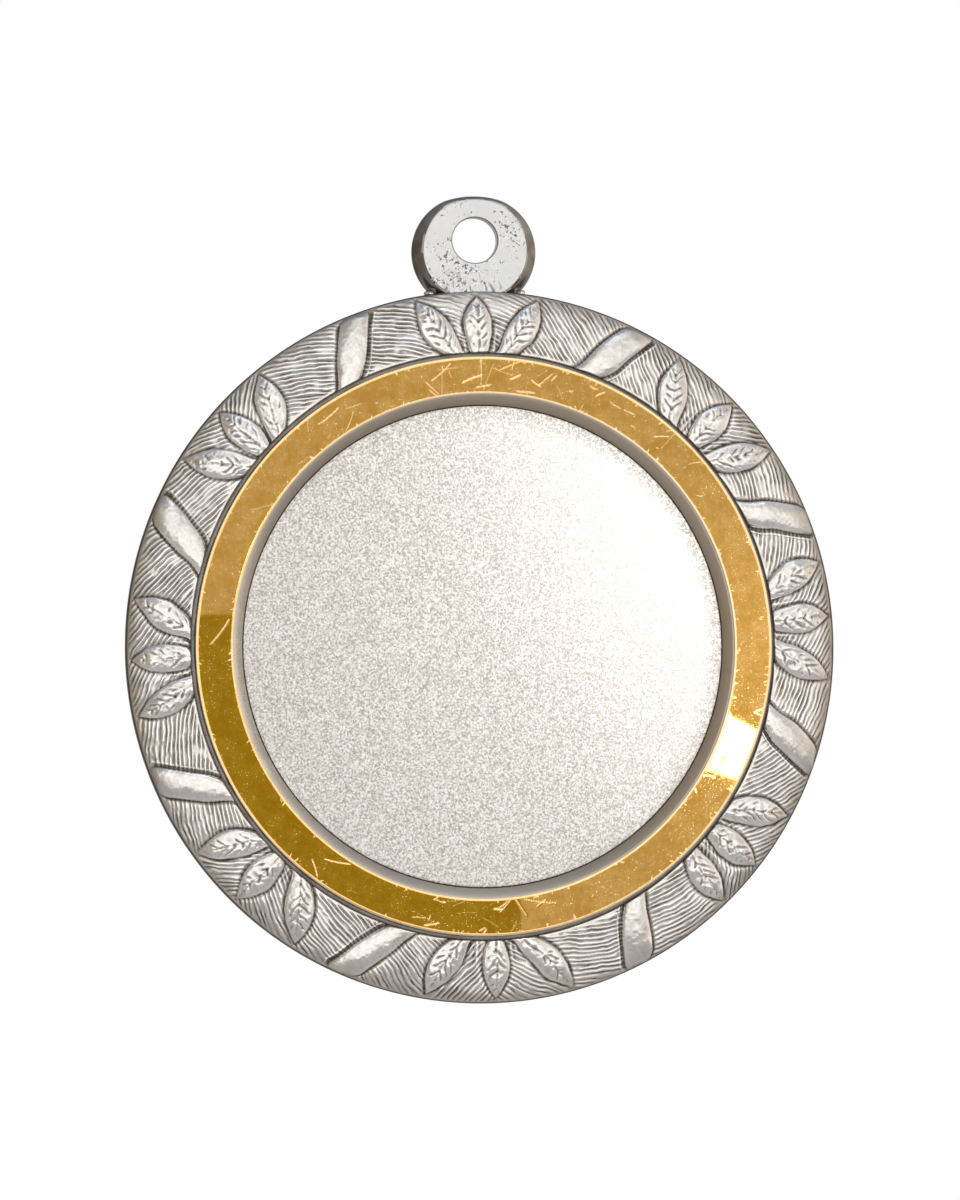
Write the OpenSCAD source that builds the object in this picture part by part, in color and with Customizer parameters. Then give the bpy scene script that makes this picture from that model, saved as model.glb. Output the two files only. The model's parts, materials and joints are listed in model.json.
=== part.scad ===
// Award medal: a cast relief body that carries a gold ring, a blasted centre disc
// and a soldered suspension lug. It hangs upright from the hole in its lug.
//
// Every module draws in the medal's own flat layout: the back lies on Z = 0, the face
// looks along +Z, and the lug is towards +Y. hang() then stands the part upright with
// its face towards -Y and its origin at the middle of the lug's hole.

/* [Body] */
// Diameter of the cast body over the relief border
body_d = 75; // [70:0.5:80]
// Height of the body's plain side wall, above the back
side_h = 1.8; // [1.6:0.1:2]
// Height of the relief border's ground where it meets the land
crown_h = 3.9; // [3.7:0.1:4.1]
// How far the leaves and ribbons stand above the border's ground
relief_h = 0.35; // [0.2:0.05:0.5]
// Height of the raised land that carries the gold ring
land_h = 4.5; // [4.4:0.1:4.8]
// Depth of the plain recess in the back
back_recess = 0.8; // [0.4:0.1:1]

/* [Gold ring] */
// Outer diameter of the gold ring
ring_d = 60.8; // [60:0.1:61.2]
// Width of the gold ring's face
ring_w = 3.95; // [3.7:0.05:4]
// Thickness of the gold ring
ring_t = 0.4; // [0.3:0.05:0.6]

/* [Centre disc] */
// Diameter of the blasted centre disc
disc_d = 50; // [49:0.1:50.2]
// Thickness of the centre disc
disc_t = 0.8; // [0.5:0.1:0.9]

/* [Lug] */
// Width of the suspension lug
lug_w = 13.2; // [12:0.1:14]
// Height of the lug from its foot to its top
lug_l = 11.9; // [11:0.1:12]
// Thickness of the lug
lug_t = 2; // [1.6:0.1:2.2]
// Diameter of the hole that the ribbon's ring passes through
hole_d = 4.8; // [4:0.1:5.2]

/* [Border pattern] */
// Direction of each leaf spray, clockwise from the lug
spray_angles = [0, 47, 86, 129.5, 179, 225, 268.5, 312.5]; // [0:0.5:360]
// Direction of each ribbon turn at mid border, clockwise from the lug
ribbon_angles = [25, 67, 107.5, 152.5, 201, 245, 291, 337]; // [0:0.5:360]

/* [Hidden] */
$fn = 96;
ARC_FN = 12;            // segments in the border's quarter round
EPS = 0.01;

body_r = body_d / 2;
edge_r = 0.4;           // rounding of the body's back edge
glue_t = 0.1;           // adhesive film under the ring and under the disc

ring_ro = ring_d / 2;
ring_ri = ring_ro - ring_w;
ring_bevel = 0.15;      // polished bevel on both edges of the gold ring
ledge = 0.1;            // how far the land reaches in past the gold ring
ring_glue_inset = 0.2;  // from the gold ring's edges to its adhesive

disc_r = disc_d / 2;
disc_gap = 0.35;        // clearance round the disc in its seat
disc_edge = 0.1;        // broken edge of the disc's face
disc_glue_inset = 0.5;  // from the disc's edge to its adhesive
face_h = 3.4;           // height of the disc's face
seat_r = disc_r + disc_gap;
seat_h = face_h - disc_t - glue_t;
mouth_r = ring_ri - ledge;

channel_w = 0.35;       // groove between the land and the relief border
channel_h = 3.3;
border_r = ring_ro + channel_w;

back_recess_r = 25.3;

lug_y = 41.65;          // centre of the lug above the medal's centre
hole_y = 42.85;         // centre of the hole above the medal's centre
lug_h = 0.1;            // height of the lug's back above the medal's back
lug_bevel = 1.1;        // width of the worn round on the lug's front edge
lug_back_bevel = 0.2;
hole_bevel = 0.1;
lug_gap = 0.05;         // clearance of the lug in its pocket
lug_round = lug_l / 2;
lug_half_flat = (lug_w - lug_l) / 2;

solder_r = 1;           // how far each solder bead reaches out of its corner
solder_t = 1.5;
solder_h = 0.15;        // height of the solder's back above the medal's back

leaf_w = 2.6;
leaf_in = border_r + 0.15;
leaf_out = body_r - 0.5;
rim_margin = 0.3;       // plain strip between the relief and the side wall
leaf_foot = 5;          // angle from the middle leaf's foot to an outer leaf's foot
leaf_spread = 10;       // angle from the middle leaf's tip to an outer leaf's tip
ribbon_w = 2.9;
ribbon_lean = 32;       // how far each ribbon leans from the radius

function polar(r, a) = [r * sin(a), r * cos(a)];

// Height of the border's ground: an elliptical quarter round that falls to the side wall.
function ground_h(r) =
    side_h + (crown_h - side_h) * sqrt(max(0, 1 - pow((r - border_r) / (body_r - border_r), 2)));

// The ground's outline, raised by up, from the side wall in to the channel.
function ground_points(up) =
    [for (i = [0 : ARC_FN])
        let (a = 90 * i / ARC_FN, r = border_r + (body_r - border_r) * cos(a))
        [r, ground_h(r) + up]];

function back_edge() =
    [for (i = [0 : 6])
        let (a = 15 * i)
        [body_r - edge_r + edge_r * sin(a), edge_r - edge_r * cos(a)]];

module turned_body() {
    rotate_extrude($fn = 180)
        polygon(concat(
            [[0, back_recess], [back_recess_r, back_recess], [back_recess_r, 0]],
            back_edge(),
            ground_points(0),
            [[border_r, channel_h], [ring_ro, channel_h], [ring_ro, land_h],
             [mouth_r, land_h], [seat_r, face_h], [seat_r, seat_h], [0, seat_h]]));
}

// A lens-shaped prism from foot to tip, both given as [x, y].
module leaf(foot, tip) {
    run = tip - foot;
    long = norm(run);
    r = (long * long + leaf_w * leaf_w) / (4 * leaf_w);
    translate((foot + tip) / 2)
        rotate(atan2(run.y, run.x))
            intersection() {
                translate([0, r - leaf_w / 2, 0]) cylinder(r = r, h = land_h);
                translate([0, leaf_w / 2 - r, 0]) cylinder(r = r, h = land_h);
            }
}

module spray(angle) {
    for (side = [-1, 0, 1])
        leaf(polar(leaf_in, angle + side * leaf_foot), polar(leaf_out, angle + side * leaf_spread));
}

module ribbon(angle) {
    rotate(-angle)
        translate([0, (border_r + body_r) / 2, land_h / 2])
            rotate(-ribbon_lean)
                cube([ribbon_w, body_r / 3, land_h], center = true);
}

// The border's ground raised by relief_h, up to the plain strip at the outer edge.
module relief_blank() {
    rotate_extrude($fn = 180)
        polygon(concat(
            [[border_r + EPS, side_h]],
            [[body_r - rim_margin, side_h]],
            [for (p = ground_points(relief_h)) [min(p.x, body_r - rim_margin), p.y]],
            [[border_r + EPS, crown_h + relief_h]]));
}

module relief() {
    intersection() {
        relief_blank();
        union() {
            for (a = spray_angles) spray(a);
            for (a = ribbon_angles) ribbon(a);
        }
    }
}

module lug_outline(r, h) {
    translate([-lug_half_flat, lug_y, 0]) cylinder(r = r, h = h);
    translate([lug_half_flat, lug_y, 0]) cylinder(r = r, h = h);
    translate([-lug_half_flat, lug_y - r, 0]) cube([2 * lug_half_flat, 2 * r, h]);
}

// Half of the lug's rounded plate, cut where its straight middle begins.
module lug_end(side) {
    translate([side * lug_half_flat, lug_y, 0])
        rotate_extrude($fn = 128)
            polygon(lug_profile());
}

function lug_profile() = concat(
    [[0, 0], [lug_round - lug_back_bevel, 0], [lug_round, lug_back_bevel]],
    [for (i = [0 : 8])
        let (a = 90 * i / 8)
        [lug_round - lug_bevel + lug_bevel * cos(a), lug_t - lug_bevel + lug_bevel * sin(a)]],
    [[0, lug_t]]);

module lug_middle() {
    translate([-lug_half_flat, lug_y, 0])
        rotate([90, 0, 90])
            linear_extrude(2 * lug_half_flat)
                union() {
                    polygon(lug_profile());
                    mirror([1, 0]) polygon(lug_profile());
                }
}

module medal_body() {
    color([0.66, 0.65, 0.63])
        difference() {
            union() {
                turned_body();
                relief();
            }
            translate([0, 0, -EPS]) lug_outline(lug_round + lug_gap, lug_h + lug_t + lug_gap + EPS);
        }
}

module gold_ring() {
    color([0.80, 0.58, 0.26])
        translate([0, 0, land_h + glue_t])
            rotate_extrude($fn = 180)
                polygon([[ring_ri, 0], [ring_ro, 0], [ring_ro, ring_t - ring_bevel],
                         [ring_ro - ring_bevel, ring_t], [ring_ri + ring_bevel, ring_t],
                         [ring_ri, ring_t - ring_bevel]]);
}

module ring_adhesive() {
    color([0.86, 0.84, 0.78])
        translate([0, 0, land_h])
            difference() {
                cylinder(r = ring_ro - ring_glue_inset, h = glue_t, $fn = 180);
                translate([0, 0, -EPS])
                    cylinder(r = ring_ri + ring_glue_inset, h = glue_t + 2 * EPS, $fn = 180);
            }
}

module centre_disc() {
    color([0.84, 0.83, 0.81])
        translate([0, 0, face_h - disc_t]) {
            cylinder(r = disc_r, h = disc_t - disc_edge, $fn = 180);
            translate([0, 0, disc_t - disc_edge])
                cylinder(r1 = disc_r, r2 = disc_r - disc_edge, h = disc_edge, $fn = 180);
        }
}

module disc_adhesive() {
    color([0.86, 0.84, 0.78])
        translate([0, 0, seat_h]) cylinder(r = disc_r - disc_glue_inset, h = glue_t, $fn = 180);
}

module lug() {
    color([0.74, 0.74, 0.72])
        difference() {
            translate([0, 0, lug_h]) {
                lug_end(-1);
                lug_middle();
                lug_end(1);
            }
            translate([0, hole_y, lug_h - EPS]) cylinder(d = hole_d, h = lug_t + 2 * EPS);
            translate([0, hole_y, lug_h + lug_t - hole_bevel])
                cylinder(d1 = hole_d, d2 = hole_d + 2.2 * hole_bevel, h = 1.1 * hole_bevel);
            translate([0, hole_y, lug_h - 0.1 * hole_bevel])
                cylinder(d1 = hole_d + 2.2 * hole_bevel, d2 = hole_d, h = 1.1 * hole_bevel);
        }
}

// Where the lug's right-hand outline crosses the body's outline, as [x, y].
function solder_corner() =
    let (to_lug = [lug_half_flat, lug_y],
         d = norm(to_lug),
         along = (body_r * body_r - lug_round * lug_round + d * d) / (2 * d),
         out = sqrt(body_r * body_r - along * along))
    (along * to_lug + out * [to_lug.y, -to_lug.x]) / d;

// A bead of solder in each corner between the lug's flank and the body's side wall.
module lug_solder() {
    corner = solder_corner();
    color([0.80, 0.80, 0.79])
        for (side = [-1, 1])
            difference() {
                translate([side * corner.x, corner.y, solder_h]) cylinder(r = solder_r, h = solder_t);
                cylinder(r = body_r + EPS, h = land_h, $fn = 720);
                lug_outline(lug_round + EPS, land_h, $fn = 360);
            }
}

module hang() {
    translate([0, lug_h + lug_t / 2, -hole_y]) rotate([90, 0, 0]) children();
}

hang() medal_body();
hang() gold_ring();
hang() ring_adhesive();
hang() centre_disc();
hang() disc_adhesive();
hang() lug();
hang() lug_solder();
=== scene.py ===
"""Award medal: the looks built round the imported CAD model, which is the fixed frame.

Shapes are worked out in the medal's own flat layout, in millimetres: u is to the right of its
centre, v is up towards the lug, and h is the height above the flat back. Angles are degrees
clockwise from the lug. place() turns that layout into the frame's metres.
"""

import json
import math

import bpy
import numpy as np
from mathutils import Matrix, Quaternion, Vector


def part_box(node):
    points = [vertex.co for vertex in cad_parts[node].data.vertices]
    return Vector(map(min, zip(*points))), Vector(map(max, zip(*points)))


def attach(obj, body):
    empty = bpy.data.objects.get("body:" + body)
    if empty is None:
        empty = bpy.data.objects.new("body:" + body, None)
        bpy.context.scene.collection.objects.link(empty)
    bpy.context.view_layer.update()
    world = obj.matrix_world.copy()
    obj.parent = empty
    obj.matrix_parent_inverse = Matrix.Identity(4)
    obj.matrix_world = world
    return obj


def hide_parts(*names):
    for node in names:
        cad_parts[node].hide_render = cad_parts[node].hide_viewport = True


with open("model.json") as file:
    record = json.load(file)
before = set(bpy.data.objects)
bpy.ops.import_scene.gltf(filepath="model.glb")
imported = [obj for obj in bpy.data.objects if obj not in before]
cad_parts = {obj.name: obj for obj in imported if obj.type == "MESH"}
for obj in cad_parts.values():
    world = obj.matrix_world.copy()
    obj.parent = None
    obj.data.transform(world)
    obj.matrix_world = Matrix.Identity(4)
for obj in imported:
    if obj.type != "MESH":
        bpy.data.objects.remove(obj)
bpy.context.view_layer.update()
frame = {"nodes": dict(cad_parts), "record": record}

MM = 0.001

# ---- Sizes and places, from the frame ------------------------------------------------------

body_lo, body_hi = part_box("medal_body")
ring_lo, ring_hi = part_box("gold_ring")
disc_lo, disc_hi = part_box("centre_disc")
lug_lo, lug_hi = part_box("lug")

CENTRE_X = (disc_lo.x + disc_hi.x) / 2
CENTRE_Z = (disc_lo.z + disc_hi.z) / 2
BACK_Y = body_hi.y


def height_of(y):
    return (BACK_Y - y) / MM


BODY_R = (body_hi.x - body_lo.x) / 2 / MM
RING_OUT_R = (ring_hi.x - ring_lo.x) / 2 / MM
RING_WIDTH = 3.95
RING_IN_R = RING_OUT_R - RING_WIDTH
DISC_R = (disc_hi.x - disc_lo.x) / 2 / MM
RING_TOP = height_of(ring_lo.y)
RING_BASE = height_of(ring_hi.y)
DISC_TOP = height_of(disc_lo.y)
DISC_BASE = height_of(disc_hi.y)
LAND_TOP = height_of(body_lo.y)
LUG_TOP = height_of(lug_lo.y)
LUG_BASE = height_of(lug_hi.y)
LUG_ROUND = (lug_hi.z - lug_lo.z) / 2 / MM
LUG_V = ((lug_hi.z + lug_lo.z) / 2 - CENTRE_Z) / MM
LUG_FLAT = (lug_hi.x - lug_lo.x) / 2 / MM - LUG_ROUND
HOLE_V = -CENTRE_Z / MM             # the frame's origin is the middle of the hole
HOLE_R = frame["record"]["mounts"][0]["dims"]["r_mm"]
BEVEL_FALL = 1.6                    # height of the lug's rounded bevel

SIDE_H = 1.8                        # top of the plain side wall
CROWN_H = 3.9                       # border's ground beside the channel
CHANNEL_W = 0.45                    # between the gold ring and the border
CHANNEL_H = 3.3                     # its floor
BORDER_R = RING_OUT_R + CHANNEL_W
LAND_SHOWN = 0.1                    # of the land, inside the gold ring
MOUTH_R = RING_IN_R - LAND_SHOWN
DISC_CLEARANCE = 0.35
SEAT_R = DISC_R + DISC_CLEARANCE
FILM_H = 0.1                        # adhesive under the disc
SEAT_H = DISC_BASE - FILM_H
DISC_GAP = 0.05                     # left round the disc by its rolled top edge
BACK_RECESS_R = 25.3
BACK_RECESS = 0.8                   # depth
BACK_EDGE = 0.4                     # rounding between the back and the side wall
POCKET_FROM_R = 35.4                # where the lug's pocket in the back begins
POCKET_GAP = 0.05
POCKET_H = 0.3                      # depth of the pocket's visible end
SOFT = 0.05                         # softening of every crisp cast edge

# ---- The border's pattern ------------------------------------------------------------------

FINE = 2304                         # columns round the relief
COARSE = 384                        # columns round the plain parts
BORDER_ROWS = 110
LUG_COLUMNS = 512

# Each spray: middle leaf's angle, then (tip, foot) of the left and the right leaf from it.
SPRAYS = [
    (0.0, (-10.0, -4.5), (10.0, 5.2)),
    (46.8, (-11.2, -6.1), (10.0, 4.7)),
    (85.8, (-9.0, -5.5), (10.2, 5.1)),
    (129.6, (-9.8, -4.6), (7.6, 6.0)),
    (178.8, (-12.8, -5.3), (11.7, 6.4)),
    (225.3, (-12.0, -5.3), (9.9, 4.4)),
    (268.6, (-9.3, -5.1), (9.9, 4.9)),
    (312.4, (-9.7, -3.9), (8.9, 3.8)),
]
# Each ribbon turn, before the spray of the same number: its angle at the ring and at the rim.
RIBBONS = [
    (-26.5, -20.0), (21.7, 28.2), (63.5, 70.0), (104.5, 110.3),
    (150.0, 154.7), (197.2, 205.0), (241.5, 248.8), (287.4, 294.3),
]
# Slope of the ground's hatching in the four gaps after each ribbon, going in as the angle grows.
HATCH_SLOPES = [
    (22, 20, 20, 45), (40, 35, -45, 17), (22, 35, 30, 12), (35, 30, -40, 7),
    (12, 30, -50, 40), (22, 30, -45, 20), (20, 32, 35, 35), (22, 30, -40, 27),
]
HATCH_PITCH = 0.45                  # from line to line
HATCH_DEPTH = 0.16
LEAF_W = 3.05
LEAF_WIDEST = 0.46                  # share of its length, from the foot
LEAF_FOOT_W = 0.56                  # share of its width
LEAF_IN_R = BORDER_R - 0.1
LEAF_OUT_R = BODY_R - 0.5
LEAF_BEND = 0.16                    # how far a side leaf bows away from the middle one
VEIN_STEP = 1.0
STEM_SHARE = 0.56                   # a stalk's place between the middle leaf's foot and a side one's
RIBBON_W = 3.05
MEAN_R = (BORDER_R + BODY_R) / 2

NOISE_REACH = 60                    # noise() covers this far to every side
NOISE_WRAP = 47


def smoothstep(low, high, x):
    """0 up to low, 1 from high on and a soft step between them; low may be the larger one."""
    t = np.clip((x - low) / (high - low), 0.0, 1.0)
    return t * t * (3 - 2 * t)


def bell(x, width):
    """1 where x is 0, and falling away softly over about the width on both sides."""
    return np.exp(-((x / width) ** 2))


def noise(x, y, size, seed):
    """Smooth noise from -1 to 1 over a plane in millimetres, with lumps of about the given size."""
    count = int(2 * NOISE_REACH / size) + 3
    grid = np.random.default_rng(seed).uniform(-1, 1, (count, count))
    x, y = (x + NOISE_REACH) / size, (y + NOISE_REACH) / size
    column, row = np.floor(x).astype(int), np.floor(y).astype(int)
    x, y = smoothstep(0, 1, x - column), smoothstep(0, 1, y - row)
    low = grid[row, column] * (1 - x) + grid[row, column + 1] * x
    high = grid[row + 1, column] * (1 - x) + grid[row + 1, column + 1] * x
    return low * (1 - y) + high * y


def wrapped(distance):
    """Folds a distance into the plane that noise() covers."""
    return distance % NOISE_WRAP - NOISE_WRAP // 2


def polar(angle, r):
    """u and v of a point at an angle and a radius."""
    angle = np.radians(angle)
    return r * np.sin(angle), r * np.cos(angle)


def turn(angle):
    """The same angle between -180 and 180."""
    return (angle + 180) % 360 - 180


def along_across(u, v, start, end):
    """Distances along and across the line from start to end, clockwise positive, and its length."""
    run_u, run_v = end[0] - start[0], end[1] - start[1]
    length = math.hypot(run_u, run_v)
    along = ((u - start[0]) * run_u + (v - start[1]) * run_v) / length
    across = ((u - start[0]) * run_v - (v - start[1]) * run_u) / length
    return along, across, length


def hatching(angle, r, u, v):
    """Hand-cut wavy lines over the ground, whose direction changes from gap to gap."""
    # each gap starts at a ribbon or at a leaf's centre line: its angle at the ring and at the rim
    starts = []
    for (ribbon_in, ribbon_out), (middle, left, right) in zip(RIBBONS, SPRAYS):
        starts.append((ribbon_in, ribbon_out))
        starts.append((middle + left[1], middle + left[0]))
        starts.append((middle, middle))
        starts.append((middle + right[1], middle + right[0]))
    across_border = (r - BORDER_R) / (BODY_R - BORDER_R)
    first = starts[0][0] + (starts[0][1] - starts[0][0]) * across_border
    angle = np.where(angle < first, angle + 360, angle)
    angle = np.where(angle >= first + 360, angle - 360, angle)
    slope = np.zeros_like(r)
    for (inner, outer), degrees in zip(starts, np.ravel(HATCH_SLOPES)):
        slope = np.where(angle >= inner + (outer - inner) * across_border, degrees, slope)
    slope = np.radians(slope)
    x, y = np.radians(angle) * MEAN_R, r
    off_line = x * np.sin(slope) + y * np.cos(slope)
    on_line = x * np.cos(slope) - y * np.sin(slope)

    # every line wavers and swells in its own way, and breaks off here and there
    own = noise(wrapped(on_line * 0.16), wrapped(off_line), 0.4, 16)
    waver = 0.16 * noise(u, v, 1.9, 11) + 0.05 * noise(u, v, 0.6, 12) + 0.10 * own
    phase = (off_line + waver) / HATCH_PITCH
    ridges = 0.5 + 0.5 * np.cos(2 * np.pi * phase)
    broken = noise(wrapped(on_line), wrapped(off_line), 0.55, 13)
    strength = 0.9 + 0.35 * noise(u, v, 1.1, 14) + 0.5 * broken + 0.45 * own

    # beside the lug the ground is nearly smooth and has a few scars; the lines stop before both edges
    smooth_top = bell(turn(angle), 5.5) * smoothstep(34.2, 35.0, r)
    strength = strength * (1 - 0.85 * smooth_top)
    lip = smoothstep(BORDER_R + 0.15, BORDER_R + 0.5, r)
    margin = 0.12 + 0.3 * bell(turn(angle - 80), 24)
    rim = 1 - smoothstep(BODY_R - margin - 0.25, BODY_R - margin, r)
    lumps = 0.05 * noise(u, v, 1.3, 15)
    scar = smoothstep(0.22, 0.02, np.abs(noise(u * 0.35 + 0.4 * v, v, 0.55, 17))) * smooth_top
    lumps = lumps + 0.07 * scar * smoothstep(-0.3, 0.2, noise(u, v, 0.9, 18))
    return lip * rim * strength * HATCH_DEPTH * (ridges ** 0.8 - 0.5) + lumps * rim


def leaf_half_width(share):
    """Half of the leaf's width at a share of its length: a narrow foot and a pointed tip."""
    low = LEAF_FOOT_W + (1 - LEAF_FOOT_W) * np.sin(np.pi / 2 * np.clip(share / LEAF_WIDEST, 0, 1))
    high = 1 - np.clip((share - LEAF_WIDEST) / (1 - LEAF_WIDEST), 0, 1) ** 2.1
    return LEAF_W / 2 * np.where(share < LEAF_WIDEST, low, high)


def beside(relief, gap):
    """The relief with its hatching softened near the edge of a leaf or a ribbon."""
    return relief * (1 - 0.65 * bell(np.maximum(gap, 0), 0.32))


def lay_leaf(relief, u, v, foot, tip, bend, seed):
    """Lays one veined leaf over the relief, with the trench that is cut round it."""
    along, across, length = along_across(u, v, foot, tip)
    share = along / length
    across = across - bend * 4 * share * (1 - share) + 0.14 * noise(u, v, 2.2, seed + 5)
    half = leaf_half_width(share)

    # how far a point lies outside the leaf's outline, and its place from the midrib, 0, to the edge, 1
    past = np.hypot(np.maximum(along - length, 0), across)
    gap = np.where(share > 1, past, np.abs(across) - half)
    gap = gap + 0.05 * noise(u, v, 0.8, seed) + 0.03 * noise(u, v, 0.35, seed + 8)
    to_edge = np.clip(np.abs(across) / np.maximum(half, 0.08), 0, 1)

    # a pillow that sinks towards the tip, with a midrib and slanting veins pressed into it
    pillow = 0.05 + 0.42 * (1 - 0.97 * to_edge * to_edge) ** 0.7 * smoothstep(1.05, 0.60, share)
    rib = across + 0.13 * noise(u, v, 1.0, seed + 1)
    midrib = bell(rib, 0.09) * smoothstep(0.9, 0.7, share) * (0.6 + 0.5 * noise(u, v, 0.8, seed + 6))
    branch = (along - 1.15 * np.abs(rib) + 0.3 * noise(u, v, 0.8, seed + 2)) / VEIN_STEP
    from_vein = np.abs((branch - 0.1 + 0.5) % 1 - 0.5) * VEIN_STEP
    fade = smoothstep(0.86, 0.5, to_edge) * smoothstep(0.08, 0.2, share) * smoothstep(0.92, 0.78, share)
    broken = smoothstep(-0.5, 0.1, noise(u, v, 0.75, seed + 4))
    veins = bell(from_vein, 0.13) * fade * broken
    lumps = 0.10 * noise(u, v, 0.6, seed + 3) + 0.035 * noise(u, v, 0.25, seed + 9)
    surface = pillow - 0.11 * midrib - 0.13 * veins + lumps * (1 - to_edge)

    # the trench round it, stronger in some stretches than in others
    cover = smoothstep(0.07, -0.07, gap)
    relief = beside(relief, gap)
    trench = 0.17 * bell(gap - 0.13, 0.16) * smoothstep(1.12, 0.98, share)
    trench = trench * (0.58 + 0.55 * noise(u, v, 1.3, seed + 7))
    trench = trench + 0.07 * bell(np.maximum(gap, 0), 0.55) * smoothstep(1.12, 0.98, share)
    return relief * (1 - cover) + surface * cover - trench


def lay_ribbon(relief, u, v, inner, outer, seed):
    """Lays one smooth ribbon turn over the relief, with a groove and a fine line beside it."""
    along, across, _ = along_across(u, v, inner, outer)
    across = across + 0.12 * noise(u, v, 2.4, seed + 3)
    r = np.hypot(u, v)
    # it narrows towards the ring and dives under the rim
    to_end = smoothstep(BODY_R - 0.1, BODY_R - 0.9, r + 0.1 * noise(u, v, 1.2, seed + 5))
    half = RIBBON_W / 2 * (0.66 + 0.34 * np.sqrt(to_end)) * (1 - 0.24 * smoothstep(2.8, 0.0, along))
    half = half * (1 + 0.07 * noise(u, v, 2.6, seed + 7))
    to_edge = np.clip(np.abs(across) / half, 0, 1)
    surface = 0.04 + 0.48 * (1 - 0.98 * to_edge * to_edge) ** 0.72 * (0.1 + 0.9 * to_end)
    surface = surface + 0.045 * noise(u, v, 1.1, seed) + 0.016 * noise(u, v, 0.3, seed + 4)
    gap = np.abs(across) - half + 0.04 * noise(u, v, 0.8, seed + 1)
    cover = smoothstep(0.08, -0.08, gap) * smoothstep(0.0, 0.25, to_end)
    relief = beside(relief, gap)
    trench = 0.17 * bell(across + half + 0.12, 0.15) + 0.19 * bell(across - half - 0.14, 0.18)
    trench = trench * (0.75 + 0.4 * noise(u, v, 1.5, seed + 6))
    line = 0.14 * bell(across - half - 0.48, 0.10) * (0.75 + 0.25 * noise(u, v, 1.5, seed + 2))
    fade = 0.3 + 0.7 * to_end
    trench = trench + 0.06 * bell(np.maximum(gap, 0), 0.5)
    return relief * (1 - cover) + surface * cover - trench * fade + line * fade * (1 - cover)


def lay_stem(relief, u, v, angle):
    """Lays the short stalk that rises between two leaves' feet."""
    along, across, _ = along_across(u, v, polar(angle, BORDER_R), polar(angle, BODY_R))
    fade = smoothstep(3.0, 1.4, along)
    return relief + fade * (0.16 * bell(across, 0.16) - 0.05 * bell(np.abs(across) - 0.34, 0.1))


def border_relief(angle, r):
    """Height of the cast relief above the border's domed ground."""
    u, v = polar(angle, r)
    relief = hatching(angle, r, u, v)

    def over(middle, reach, lay):
        """Lays one shape on the columns that are within reach degrees of its middle."""
        near = np.abs(turn(angle[0] - middle)) < reach
        relief[:, near] = lay(relief[:, near], u[:, near], v[:, near])

    for k, (middle, left, right) in enumerate(SPRAYS):
        for _, foot in (left, right):
            stem = middle + STEM_SHARE * foot
            over(middle, 16, lambda z, x, y: lay_stem(z, x, y, stem))
        for part, (tip, foot) in enumerate((left, right, (0.0, 0.0))):
            ends = polar(middle + foot, LEAF_IN_R), polar(middle + tip, LEAF_OUT_R)
            bend = LEAF_BEND * np.sign(tip)
            seed = 100 + 10 * (3 * k + part)
            over(middle, 18, lambda z, x, y: lay_leaf(z, x, y, *ends, bend, seed))
    for k, (inner, outer) in enumerate(RIBBONS):
        ends = polar(inner, BORDER_R), polar(outer, BODY_R)
        over((inner + outer) / 2, 12, lambda z, x, y: lay_ribbon(z, x, y, *ends, 500 + 10 * k))
    inner_edge = smoothstep(BORDER_R - 0.02, BORDER_R + 0.12, r)
    outer_edge = 1 - smoothstep(BODY_R - 0.34, BODY_R - 0.05, r)
    return relief * outer_edge - 0.06 * (1 - inner_edge)


def blurred(field, rows_wide, columns_wide):
    """The field after a Gaussian blur that wraps round the columns and mirrors at the end rows."""
    field = np.concatenate([field[::-1], field, field[::-1]])
    rows = np.fft.fftfreq(field.shape[0])[:, None]
    columns = np.fft.rfftfreq(field.shape[1])[None, :]
    soften = np.exp(-2 * (np.pi * rows * rows_wide) ** 2 - 2 * (np.pi * columns * columns_wide) ** 2)
    field = np.fft.irfft2(np.fft.rfft2(field) * soften, s=field.shape)
    third = field.shape[0] // 3
    return field[third:2 * third]


# ---- Meshes ---------------------------------------------------------------------------------


def place(u, v, h):
    """Points in the frame's metres, from the medal's flat layout in millimetres."""
    return np.stack([CENTRE_X + u * MM, BACK_Y - h * MM, CENTRE_Z + v * MM], axis=-1)


def make_mesh(name, points, triangles, values):
    """A smooth mesh object of triangles and quads, with one named value per point."""
    mesh = bpy.data.meshes.new(name)
    mesh.vertices.add(len(points))
    mesh.vertices.foreach_set("co", points.astype(np.float32).ravel())
    corners = np.concatenate([np.ravel(faces) for faces in triangles]).astype(np.int32)
    sizes = np.concatenate([np.full(len(faces), faces.shape[1]) for faces in triangles])
    mesh.loops.add(len(corners))
    mesh.loops.foreach_set("vertex_index", corners)
    mesh.polygons.add(len(sizes))
    starts = np.concatenate([[0], np.cumsum(sizes)[:-1]]).astype(np.int32)
    mesh.polygons.foreach_set("loop_start", starts)
    mesh.polygons.foreach_set("use_smooth", np.ones(len(sizes), dtype=bool))
    mesh.update(calc_edges=True)
    for key, field in values.items():
        layer = mesh.attributes.new(key, "FLOAT", "POINT")
        layer.data.foreach_set("value", field.astype(np.float32).ravel())
    piece = bpy.data.objects.new(name, mesh)
    bpy.context.scene.collection.objects.link(piece)
    return piece


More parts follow.
